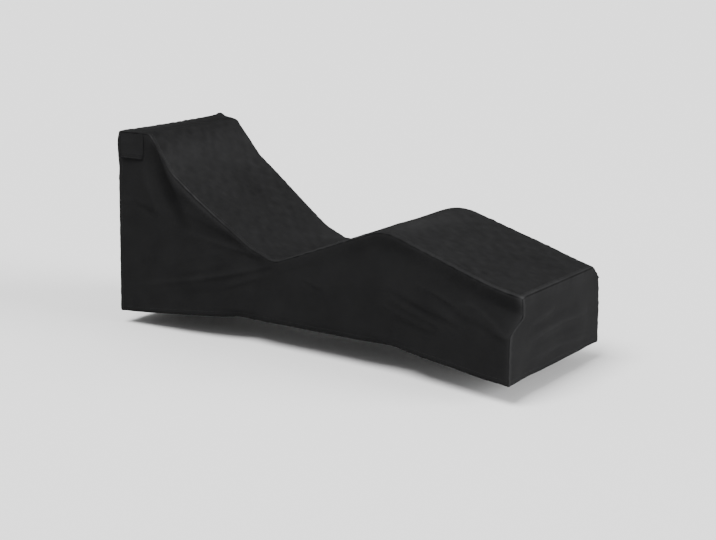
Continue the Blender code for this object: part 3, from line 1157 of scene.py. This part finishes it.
@dataclass
class TopPanel(Panel):
    """The long top panel, which laps over the sides and the ends."""

    name: str = "top_cloth"
    node: str = "top_panel"
    flat: Pair = (0.640, 2.010)
    area: float = 1.060
    held: str = "stretched"
    cross_steps: int = 106
    blend_half_width: float = 0.12
    # Painted shade over the left half of the cap: where the cap ends, how soft that end is, and how dark.
    cap_length: float = 0.13
    cap_fade: float = 0.02
    cap_shade: float = 0.07
    slack_hold: float = 0.05
    crinkle_hold: float = 0.03
    pucker_seed: int = 31
    line_strength_limits: Pair = (0.2, 2.0)
    # How strongly a seam is painted paler, partly rubbing and partly a painted highlight: its crest's
    # line, then its bead.
    left_rub_and_highlight: Pair = (0.15, 0.10)
    foot_rub_and_highlight: Pair = (0.35, 0.05)
    rear_rub_and_highlight: Pair = (0.15, 0.10)
    rear_rub_and_highlight_right: Pair = (0.45, 0.45)
    # How strongly the painted highlights along the two end edges show: in the left half, then in the
    # right.
    rear_glows: Pair = (0.14, 0.40)
    foot_glows: Pair = (0.6, 1.2)
    # Painted light and shade along the chair: how much paler or darker the top panel is at each distance.
    painted_light_along: Table = Table(((0.00, 1.05), (0.05, 0.92), (0.12, 0.82), (0.145, 0.90), (0.19, 1.10),
                         (0.24, 1.02), (0.33, 0.93), (0.50, 0.95), (0.62, 1.12), (0.75, 1.10),
                         (1.00, 1.22), (1.20, 1.22), (1.32, 1.04), (1.50, 0.98), (1.745, 0.97)))
    # How strongly the right seam's painted highlight shows along the chair: on its crest's line and over
    # its bead.
    right_line: Table = Table(((0.00, 0.10), (0.11, 0.10), (0.135, 0.70), (0.155, -0.10), (0.215, -0.10),
                              (0.25, 0.60), (0.44, 0.60), (0.48, 0.30), (0.52, 0.05), (0.56, 0.20),
                              (0.60, 0.00), (0.80, 0.10), (1.05, 0.10), (1.20, 0.00), (1.40, 0.05),
                              (1.745, 0.20)))
    right_bead: Table = Table(((0.00, 0.10), (0.14, 0.10), (0.24, 0.04), (0.50, 0.04), (0.68, 0.25),
                              (0.90, 0.45), (1.05, 0.40), (1.20, 0.12), (1.40, 0.30), (1.55, 0.40),
                              (1.745, 0.45)))
    # Painted highlights: a band along the rear edge and along the foot edge, and a pale knuckle on the
    # foot's right corner.
    rear_glow: Edging = Edging(0.0120, 0.0180)
    foot_glow: Edging = Edging(0.0080, 0.0055, 0.38)
    knuckle: Edging = Edging(0.0, 0.0160, 0.50)
    # How unevenly the right seam's painted highlight shows along its run.
    line_unevenness: Ripples = Ripples(51, 0.020, 0.090, 0.35)
    mottling: Ripples = Ripples(52, 0.018, 0.070, 0.050, 90)
    slack: Ripples = Ripples(21, 0.10, 0.42, 0.0011)
    crinkles: Ripples = Ripples(22, 0.022, 0.070, 0.00030, 90)

    def grid(self) -> ClothGrid:
        """Work out the top panel: the wave's surface, creased, puckered and lapped.

        Returns:
            The grid. Rows run from the rear edge to the foot, columns from the right to the left.
        """
        shape = self.shape
        distance = shape.distance[:, None]
        right, left = shape.right.edge(distance), shape.left.edge(distance)
        inset = graded((right + left)[:, 0], EDGE_INSETS, EDGE_INSETS, self.cross_steps).T
        across = inset - right
        points = shape.place(distance, across, shape.top(distance, across))
        run = shape.run[:, None] + 0.0 * across
        edges = (inset, right + left - inset, run, shape.run[-1] - run)
        to_right, to_left, to_rear, to_foot = edges
        nearest = np.minimum.reduce(edges)
        creases = sum(crease.read(distance, across) for crease in TOP_CREASES)
        # Painted light and shade along the chair and on the creases.
        tint = self.painted_light_along.read(distance) + FOLD_SHADE * creases
        tint = tint + self.rubbing_and_painted_light(distance, across, run, edges)
        grid = ClothGrid(points, np.stack((across, run), axis=-1), tint, Facing.AS_GRID)
        slack = self.slack.read(run, across) * smooth_step(nearest / self.slack_hold)
        crinkles = self.crinkles.read(run, across) * smooth_step(nearest / self.crinkle_hold)
        seams = ((run, to_right), (run, to_left), (across, to_foot), (across, to_rear))
        puckers = PUCKER.along(self.pucker_seed, *seams)
        grid.lift(creases + slack + crinkles + SEAM_LAP.read(nearest) + puckers)
        grid.curl(*edges)
        return grid

    def rubbing_and_painted_light(self, distance: Array, across: Array, run: Array, edges: tuple[Array, ...]) -> Array:
        """Where the panel is painted paler or darker: painted light and shade, with rubbing and mottling.

        Formula: painted light and shade in patches, each seam's rubbing and painted highlight, a
        painted highlight along the rear and foot edges that is stronger in the right half, a painted
        highlight on the knuckle at the foot's right corner and a fine mottling, less a painted shade over
        the left half of the cap.

        Args:
            distance: Places along the chair.
            across: Places across it.
            run: Places along the cloth.
            edges: How far in from the right, left, rear and foot edges.

        Returns:
            What this adds to the tint.
        """
        to_right, to_left, to_rear, to_foot = edges
        # Painted light and shade in patches, and how unevenly the right seam's painted highlight shows.
        patches = sum(patch.read(distance, across) for patch in TOP_PATCHES)
        patchy = np.clip(1.0 + self.line_unevenness.read(run, 0.0 * run), *self.line_strength_limits)
        right_half = smooth_step((self.blend_half_width - across) / (2.0 * self.blend_half_width))

        def blend(left: float, right: float) -> Array:
            """A strength that goes over from the left half's to the right half's."""
            return left + (right - left) * right_half

        right_line = self.right_line.read(distance) * patchy
        rear_rub_and_highlight = [blend(*pair) for pair in zip(self.rear_rub_and_highlight, self.rear_rub_and_highlight_right)]
        seams = SEAM_RUB_AND_HIGHLIGHT.read(to_right, right_line, self.right_bead.read(distance))
        seams = seams + SEAM_RUB_AND_HIGHLIGHT.read(to_left, *self.left_rub_and_highlight) + SEAM_RUB_AND_HIGHLIGHT.read(to_foot, *self.foot_rub_and_highlight)
        seams = seams + SEAM_RUB_AND_HIGHLIGHT.read(to_rear, *rear_rub_and_highlight)
        # Painted highlights along the rear and foot edges, stronger in the right half, and on the foot's
        # right corner, with a fine mottling of tone.
        glow = blend(*self.rear_glows) * self.rear_glow.read(to_rear)
        glow = glow + blend(*self.foot_glows) * self.foot_glow.read(to_foot)
        glow = glow + self.knuckle.read(np.hypot(to_right, to_foot)) + self.mottling.read(run, across)
        # Painted shade over the left half of the cap.
        cap = smooth_step((self.cap_length - distance) / self.cap_fade)
        return patches + seams + glow - blend(self.cap_shade, 0.0) * cap

    def seams(self, grid: ClothGrid) -> list[Line]:
        """One line along each edge, from the panel's grid."""
        long, both = slice(SEAM_LINE, -SEAM_LINE), (SEAM_LINE, -1 - SEAM_LINE)
        return [grid.line(long, at) for at in both] + [grid.line(at, long) for at in both]


@dataclass
class SidePanel(Panel):
    """A side panel: tucked under the top panel's lip, lapped round the rear corner, open at its hem."""

    flat: Pair = (0.750, 1.820)
    area: float = 0.720
    hand: Hand = Hand.RIGHT
    rows: int = 62
    # Painted light and shade: the side's plain tint, darker than the top and ends, and a painted highlight
    # on the shoulder just below the seam, with how far down it reaches.
    plain: float = 0.885
    shoulder: Table = Table(((0.00, 0.10), (0.10, 0.25), (0.20, 0.32), (0.50, 0.34), (0.60, 0.25),
                             (1.745, 0.30)))
    shoulder_reach: Table = Table(((0.00, 0.012), (0.12, 0.020), (0.30, 0.035), (0.50, 0.028),
                                   (0.62, 0.008), (1.745, 0.007)))
    # Painted shade along the curled hem, and a painted highlight along the foot corner, strongest near its
    # top.
    hem_line: Edging = Edging(0.0, 0.004, -0.30)
    foot_glow: Edging = Edging(0.0, 0.016)
    corner_glow: Edging = Edging(0.0, 0.060, 0.90)
    # How much the drawn wrinkles are painted paler and darker, painted light and shade, and how far they
    # lift.
    drawn_tint: float = 0.030
    drawn_lift: float = 0.0005
    rear_rub_and_highlight: Pair = (0.15, 0.05)
    foot_glow_least: float = 0.30
    seam_hold: float = 0.06
    corner_hold: float = 0.05
    # The shortest and the longest wave of the slack and of the flutter at the hem, and the height.
    unevenness: Triple = (0.09, 0.45, 0.0011)
    flutter: Triple = (0.07, 0.20, 0.0008)
    flutter_slant: float = 0.2
    flutter_reach: float = 0.10
    hem_pucker: float = 0.6
    # What each kind of ripple adds to the side's own seed.
    uneven_seed: int = 30
    flutter_seed: int = 40
    pucker_seed: int = 50
    pucker_step: int = 10
    hem_seed: int = 80

    def __post_init__(self) -> None:
        """Take the names of its own side."""
        word = self.hand.name.lower()
        self.name = "side_cloth_" + word
        self.node = "side_panel_" + word

    def grid(self) -> ClothGrid:
        """Work out a side panel: the side's half widths from the seam down, puckered and hemmed.

        Returns:
            The grid. Rows run from the seam to the hem, columns from the rear corner to the foot.
        """
        shape, side = self.shape, self.shape.side(self.hand)
        distance = shape.distance[None, :] * (1.0 - (LIP_DROP - TUCK) / shape.length)
        seam = shape.seam_height(self.hand, distance) + TUCK
        hem = side.read("hem_height", distance)
        down = graded((seam - hem)[0], EDGE_INSETS, HEM_INSETS, self.rows)
        height = seam - down
        distance = distance + 0.0 * height
        half = shape.half_width(self.hand, distance, height)
        to_hem, to_foot = height - hem, shape.length - distance
        drawn = sum(streaks.read(distance, height) for streaks in side.drawn)
        # Painted light and shade: the shoulder's highlight, the creases, the rear lap's highlight, the
        # hem's shade, the drawn wrinkles and the foot corner's highlight.
        shoulder = self.shoulder.read(distance) * bell(down, self.shoulder_reach.read(distance))
        tint = self.plain + FOLD_SHADE * shape.folds(self.hand, distance, height)
        tint = tint + SEAM_RUB_AND_HIGHLIGHT.read(distance, *self.rear_rub_and_highlight) + shoulder + self.hem_line.read(to_hem)
        glow = self.foot_glow_least + self.corner_glow.read(down)
        tint = tint + self.drawn_tint * drawn + glow * self.foot_glow.read(to_foot)
        points = shape.place(distance, self.hand.value * half, height)
        facing = Facing.AS_GRID if self.hand is Hand.RIGHT else Facing.TURNED
        grid = ClothGrid(points, np.stack((distance, down), axis=-1), tint, facing)
        calm = smooth_step(down / self.seam_hold) * smooth_step(distance / self.corner_hold)
        calm = calm * smooth_step(to_foot / self.corner_hold)
        uneven = Ripples(side.seed + self.uneven_seed, *self.unevenness).read(distance, height)
        flutter = Ripples(side.seed + self.flutter_seed, *self.flutter)
        flutter = flutter.read(distance, self.flutter_slant * height)
        uneven = uneven + self.drawn_lift * drawn + flutter * bell(to_hem, self.flutter_reach)
        seams = ((distance, down), (height, distance), (height, to_foot))
        puckers = PUCKER.along(side.seed + self.pucker_seed, *seams, step=self.pucker_step)
        at_hem = PUCKER.read(distance, to_hem, side.seed + self.hem_seed)
        puckers = puckers + self.hem_pucker * at_hem
        grid.lift(calm * uneven + SEAM_LAP.read(distance) + HEM_FOLD.read(to_hem) + puckers)
        grid.curl(down, distance, to_foot, HEM_CURL * to_hem)
        return grid

    def seams(self, grid: ClothGrid) -> list[Line]:
        """A line along the rear corner's lap and one along the hem."""
        corner = grid.line(slice(SEAM_LINE, None), SEAM_LINE)
        return [corner, grid.line(HEM_LINE, slice(SEAM_LINE, -HEM_END))]


@dataclass
class EndPanel(Panel):
    """A panel across one end of the cover, between the two side panels."""

    cross_steps: int = 78
    rows: int = 62
    inward: float = 1.0
    bow: float = 0.0
    seed: int = 0
    laps_sides: bool = False
    creases: tuple[Crease, ...] = ()
    # The end panels' plain tint, painted paler than the sides: painted light.
    plain: float = 1.06
    # The creases reach full depth at this share of the parabola across, and of the way down.
    full_bow: float = 0.5
    full_down: float = 0.25
    hold: float = 0.05
    # The shortest and the longest wave of the slack, and its height.
    unevenness: Triple = (0.09, 0.40, 0.0016)
    # Painted shade along the curled hem.
    hem_line: Edging = Edging(0.0, 0.004, -0.25)

    def stands_at(self) -> float:
        """The distance at which the panel hangs."""
        raise NotImplementedError

    def rubbing_and_painted_light(self, down: Array, sides: tuple[Array, Array]) -> Array | float:
        """The painted light and shade and the rubbing that its seams add to the tint, from how far in
        places are: here nothing.
        """
        return 0.0

    def grid(self) -> ClothGrid:
        """Work out an end panel, with rows from the top seam to the hem.

        Formula: each row runs between the two sides at its own height, and bows out as half a
        sine down the panel times a parabola across it.

        Returns:
            The panel's grid.
        """
        shape, distance = self.shape, self.stands_at()
        at = np.array([[distance]])
        seam = [shape.seam_height(hand, at) + TUCK for hand in Hand]
        hem = [shape.side(hand).read("hem_height", at) for hand in Hand]
        right_drop = float(seam[0][0, 0] - hem[0][0, 0])
        down = graded(np.array([right_drop]), EDGE_INSETS, HEM_INSETS, self.rows)
        share = down / right_drop
        margin = 0.0 if self.laps_sides else LIP_DROP - TUCK
        heights = [top + (low - top) * share for top, low in zip(seam, hem)]
        halves = [shape.half_width(hand, at + 0.0 * up, up) - margin for hand, up in zip(Hand, heights)]
        width = sum(halves)
        inset = graded(width[:, 0], EDGE_INSETS, EDGE_INSETS, self.cross_steps).T
        part = inset / width
        across = inset - halves[0]
        down = down + 0.0 * across
        height = heights[0] + (heights[1] - heights[0]) * part
        line = shape.top(at, across[:1]) - LIP_DROP + TUCK
        height = height + (line - height[:1]) * (1.0 - share) ** 2
        belly = 1.0 - (2.0 * part - 1.0) ** 2
        held = smooth_step(belly / self.full_bow) * smooth_step(share / self.full_down)
        folds = sum((crease.read(across, height) for crease in self.creases), np.zeros_like(across))
        out = self.bow * np.sin(math.pi * share) * belly + held * folds
        points = shape.place(distance - self.inward * out, across, height)
        to_hem, sides = right_drop - down, (inset, width - inset)
        # Painted light and shade: the plain tint, the creases, the hem's shade and the seams' highlights.
        tint = self.plain + FOLD_SHADE * folds + self.hem_line.read(to_hem) + self.rubbing_and_painted_light(down, sides)
        facing = Facing.TURNED if self.inward > 0.0 else Facing.AS_GRID
        grid = ClothGrid(points, np.stack((across, height), axis=-1), tint, facing)
        calm = smooth_step(down / self.hold) * smooth_step(np.minimum(*sides) / self.hold)
        uneven = Ripples(self.seed, *self.unevenness).read(across, height)
        puckers = PUCKER.along(self.seed + 1, (across, down), (height, sides[0]), (height, sides[1]))
        laps = sum(map(SEAM_LAP.read, sides)) if self.laps_sides else 0.0
        grid.lift(calm * uneven + HEM_FOLD.read(to_hem) + puckers + laps)
        grid.curl(down, *sides, HEM_CURL * to_hem)
        return grid

    def seams(self, grid: ClothGrid) -> list[Line]:
        """The line along the hem."""
        return [grid.line(HEM_LINE, slice(HEM_END, -HEM_END))]


@dataclass
class RearPanel(EndPanel):
    """The panel across the head end, tucked inside the side panels."""

    name: str = "rear_cloth"
    node: str = "rear_panel"
    flat: Pair = (0.690, 0.760)
    area: float = 0.480
    bow: float = 0.008
    seed: int = 70

    def stands_at(self) -> float:
        """At the rear face."""
        return 0.0


@dataclass
class FootPanel(EndPanel):
    """The panel across the foot end, which laps over the side panels."""

    name: str = "foot_cloth"
    node: str = "foot_panel"
    flat: Pair = (0.690, 0.340)
    area: float = 0.190
    inward: float = -1.0
    bow: float = 0.004
    seed: int = 80
    laps_sides: bool = True
    creases: tuple[Crease, ...] = FOOT_CREASES
    # Painted light and shade at the seams: a painted highlight below the top seam, painted shade in its
    # groove, the seams' rubbing and painted highlight, and a painted highlight along each corner.
    top_glow: Edging = Edging(0.020, 0.012, 0.10)
    top_groove: Edging = Edging(0.0, 0.0030, -0.30)
    top_rub_and_highlight: Pair = (0.30, 0.05)
    side_rub_and_highlight: Pair = (0.20, 0.10)
    side_glows: tuple[Edging, Edging] = (Edging(0.0050, 0.0050, 0.45), Edging(0.0050, 0.0050, 0.40))

    def stands_at(self) -> float:
        """At the foot end of the chair."""
        return self.shape.length

    def rubbing_and_painted_light(self, down: Array, sides: tuple[Array, Array]) -> Array:
        """Its top seam's painted highlight and the painted shade in its groove, and its corners' rubbing
        and painted highlights.

        Args:
            down: How far below the top seam.
            sides: How far in from the right and left edges.

        Returns:
            What this adds to the tint.
        """
        # Painted highlight below the top seam, painted shade in its groove, and the seams' rubbing and
        # painted highlights.
        tint = self.top_glow.read(down) + SEAM_RUB_AND_HIGHLIGHT.read(down, *self.top_rub_and_highlight) + self.top_groove.read(down)
        for side, glow in zip(sides, self.side_glows):
            tint = tint + glow.read(side) + SEAM_RUB_AND_HIGHLIGHT.read(side, *self.side_rub_and_highlight)
        return tint

    def seams(self, grid: ClothGrid) -> list[Line]:
        """The hem, and the lap at each corner."""
        below = slice(SEAM_LINE, None)
        return super().seams(grid) + [grid.line(below, at) for at in (SEAM_LINE, -1 - SEAM_LINE)]


@dataclass
class VentFlap(Panel):
    """The vent flap under the cap on the right side: sewn at its top and ends, open below."""

    name: str = "vent_flap_cloth"
    node: str = "vent_flap"
    flat: Pair = (0.100, 0.115)
    area: float = 0.0110
    start: float = 0.014
    end: float = 0.098
    drop: float = 0.001
    length: float = 0.095
    stand_off: float = 0.0007
    mouth: float = 0.006
    mouth_corner: float = 0.012
    least_open: float = 0.20
    pucker_seed: int = 91
    columns: int = 40
    rows: int = 48
    stitch_shares: Pair = (0.87, 0.96)
    # Painted shade: a darker outline, a dark line along the lower stitching and a darker band over the
    # fold at the open edge.
    outline: Edging = Edging(0.0, 0.0015, -0.05)
    stitch_line: Edging = Edging(0.0125, 0.0022, -0.16)
    fold_shade: Layers = Layers(0.013, 0.10, 0.003)

    def grid(self) -> ClothGrid:
        """Follow the side panel, standing off a little more towards the open lower edge.

        Returns:
            The grid. Rows run from the sewn edge down to the mouth, columns along the chair.
        """
        shape = self.shape
        distance = np.linspace(self.start, self.end, self.columns + 1)[None, :]
        share = np.linspace(0.0, 1.0, self.rows + 1)[:, None]
        height = shape.seam_height(Hand.RIGHT, distance) - self.drop - self.length * share
        distance = distance + 0.0 * height
        ends = np.minimum(distance - self.start, self.end - distance)
        slack = self.least_open + (1.0 - self.least_open) * smooth_step(ends / self.mouth_corner)
        stand = CLOTH + self.stand_off + self.mouth * share**3 * slack
        half = shape.half_width(Hand.RIGHT, distance, height) + stand
        points = shape.place(distance, -half, height)
        down = self.length * share + 0.0 * distance
        to_hem = self.length - down
        edge = np.minimum.reduce((ends, down, to_hem))
        # Painted shade along the flap's edges, its stitching and its fold.
        tint = 1.0 + self.outline.read(edge) + self.stitch_line.read(to_hem) - self.fold_shade.read(to_hem)
        grid = ClothGrid(points, np.stack((distance, down), axis=-1), tint, Facing.AS_GRID)
        grid.lift(FLAP_FOLD.read(to_hem) + PUCKER.read(distance, down, self.pucker_seed))
        return grid

    def seams(self, grid: ClothGrid) -> list[Line]:
        """Two lines above the open edge."""
        row = slice(HEM_END, -HEM_END)
        return [grid.line(round(self.rows * share), row) for share in self.stitch_shares]


@dataclass(frozen=True)
class Sun:
    """A far lamp: its name, its strength, how wide it looks in degrees, and where it stands."""

    name: str
    energy: float
    softness: float
    towards: Triple

    def hang(self) -> None:
        """Hang the lamp."""
        lamp = bpy.data.lights.new(self.name, "SUN")
        lamp.energy = self.energy
        lamp.angle = math.radians(self.softness)
        light = bpy.data.objects.new(self.name, lamp)
        bpy.context.scene.collection.objects.link(light)
        light.rotation_mode = "QUATERNION"
        light.rotation_quaternion = Vector(self.towards).to_track_quat("Z", "Y")


@dataclass(frozen=True)
class Studio:
    """The floor, the light and the camera."""

    floor_size: float = 90.0
    azimuth: float = 35.475
    elevation: float = 13.954
    camera_distance: float = 5.2605
    lens: float = 71.08
    sensor: float = 36.0
    aim_distance: float = 0.9137
    aim_height: float = 0.2781
    sky: float = 0.45
    backdrop: float = 1.95
    key: Sun = Sun("soft_key", 4.9, 40.0, (1.00, 0.35, 0.30))
    fill: Sun = Sun("soft_fill", 4.6, 35.0, (-0.10, -0.43, 0.90))

    def build(self, shape: Shape) -> None:
        """Lay the floor, hang the lights and set the camera.

        Args:
            shape: The cover's shape, which says where the ground and the rear face are.
        """
        self.lay_floor(shape)
        self.light_sky()
        self.key.hang()
        self.fill.hang()
        self.set_camera(shape)

    def lay_floor(self, shape: Shape) -> None:
        """Lay a square of floor at the ground that the chair stands on.

        Args:
            shape: The cover's shape, which says where the ground is.
        """
        corners = np.array(((-1, -1), (1, -1), (1, 1), (-1, 1)), float) * self.floor_size / 2.0
        points = np.column_stack((corners, np.full(4, shape.ground)))
        floor = mesh_piece("studio_floor", points, np.array(((0, 1, 2, 3),)), PaleFloor().make())

    def light_sky(self) -> None:
        """A pale sky all round, which the camera itself sees as bright as the floor.

        The key lamp stands low beyond the foot end, and the fill high over the camera's side.
        """
        world = bpy.data.worlds.new("studio_sky")
        world.use_nodes = True
        nodes = Nodes(world.node_tree)
        straight = nodes.add("LightPath").outputs["Is Camera Ray"]
        strength = nodes.add("MapRange", {"Value": straight, "To Min": self.sky, "To Max": self.backdrop})
        nodes.feed(world.node_tree.nodes["Background"],
                   {"Color": (1.0, 1.0, 1.0, 1.0), "Strength": strength.outputs["Result"]})
        bpy.context.scene.world = world

    def set_camera(self, shape: Shape) -> None:
        """Stand the camera off from the aim point, by azimuth round it and elevation above it.

        Args:
            shape: The cover's shape, in which the aim point is placed.
        """
        turn, rise = math.radians(self.azimuth), math.radians(self.elevation)
        back = Vector((math.sin(turn) * math.cos(rise), -math.cos(turn) * math.cos(rise), math.sin(rise)))
        aim = Vector(shape.place(self.aim_distance, 0.0, self.aim_height).tolist())
        data = bpy.data.cameras.new("studio_camera")
        data.lens = self.lens
        data.sensor_width = self.sensor
        camera = bpy.data.objects.new("studio_camera", data)
        bpy.context.scene.collection.objects.link(camera)
        camera.location = aim + back * self.camera_distance
        camera.rotation_mode = "QUATERNION"
        camera.rotation_quaternion = (-back).to_track_quat("-Z", "Y")
        bpy.context.scene.camera = camera


def corners(box: tuple[Vector, Vector]) -> list[list[float]]:
    """A box's two corners as plain lists."""
    return [list(corner) for corner in box]


def main() -> None:
    """Load the frame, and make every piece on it."""
    logging.basicConfig(level=logging.INFO, format="%(name)s %(message)s")
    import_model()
    shape = Shape(Wave(), RIGHT_SIDE, LEFT_SIDE)
    common = (shape, CoverCloth().make(), SewingThread().make(), Stitching())
    panels = [
        TopPanel(*common),
        SidePanel(*common, hand=Hand.RIGHT),
        SidePanel(*common, hand=Hand.LEFT),
        RearPanel(*common),
        FootPanel(*common),
        VentFlap(*common),
    ]
    for panel in panels:
        panel.build()
    Studio().build(shape)


if __name__ == "__main__":
    main()
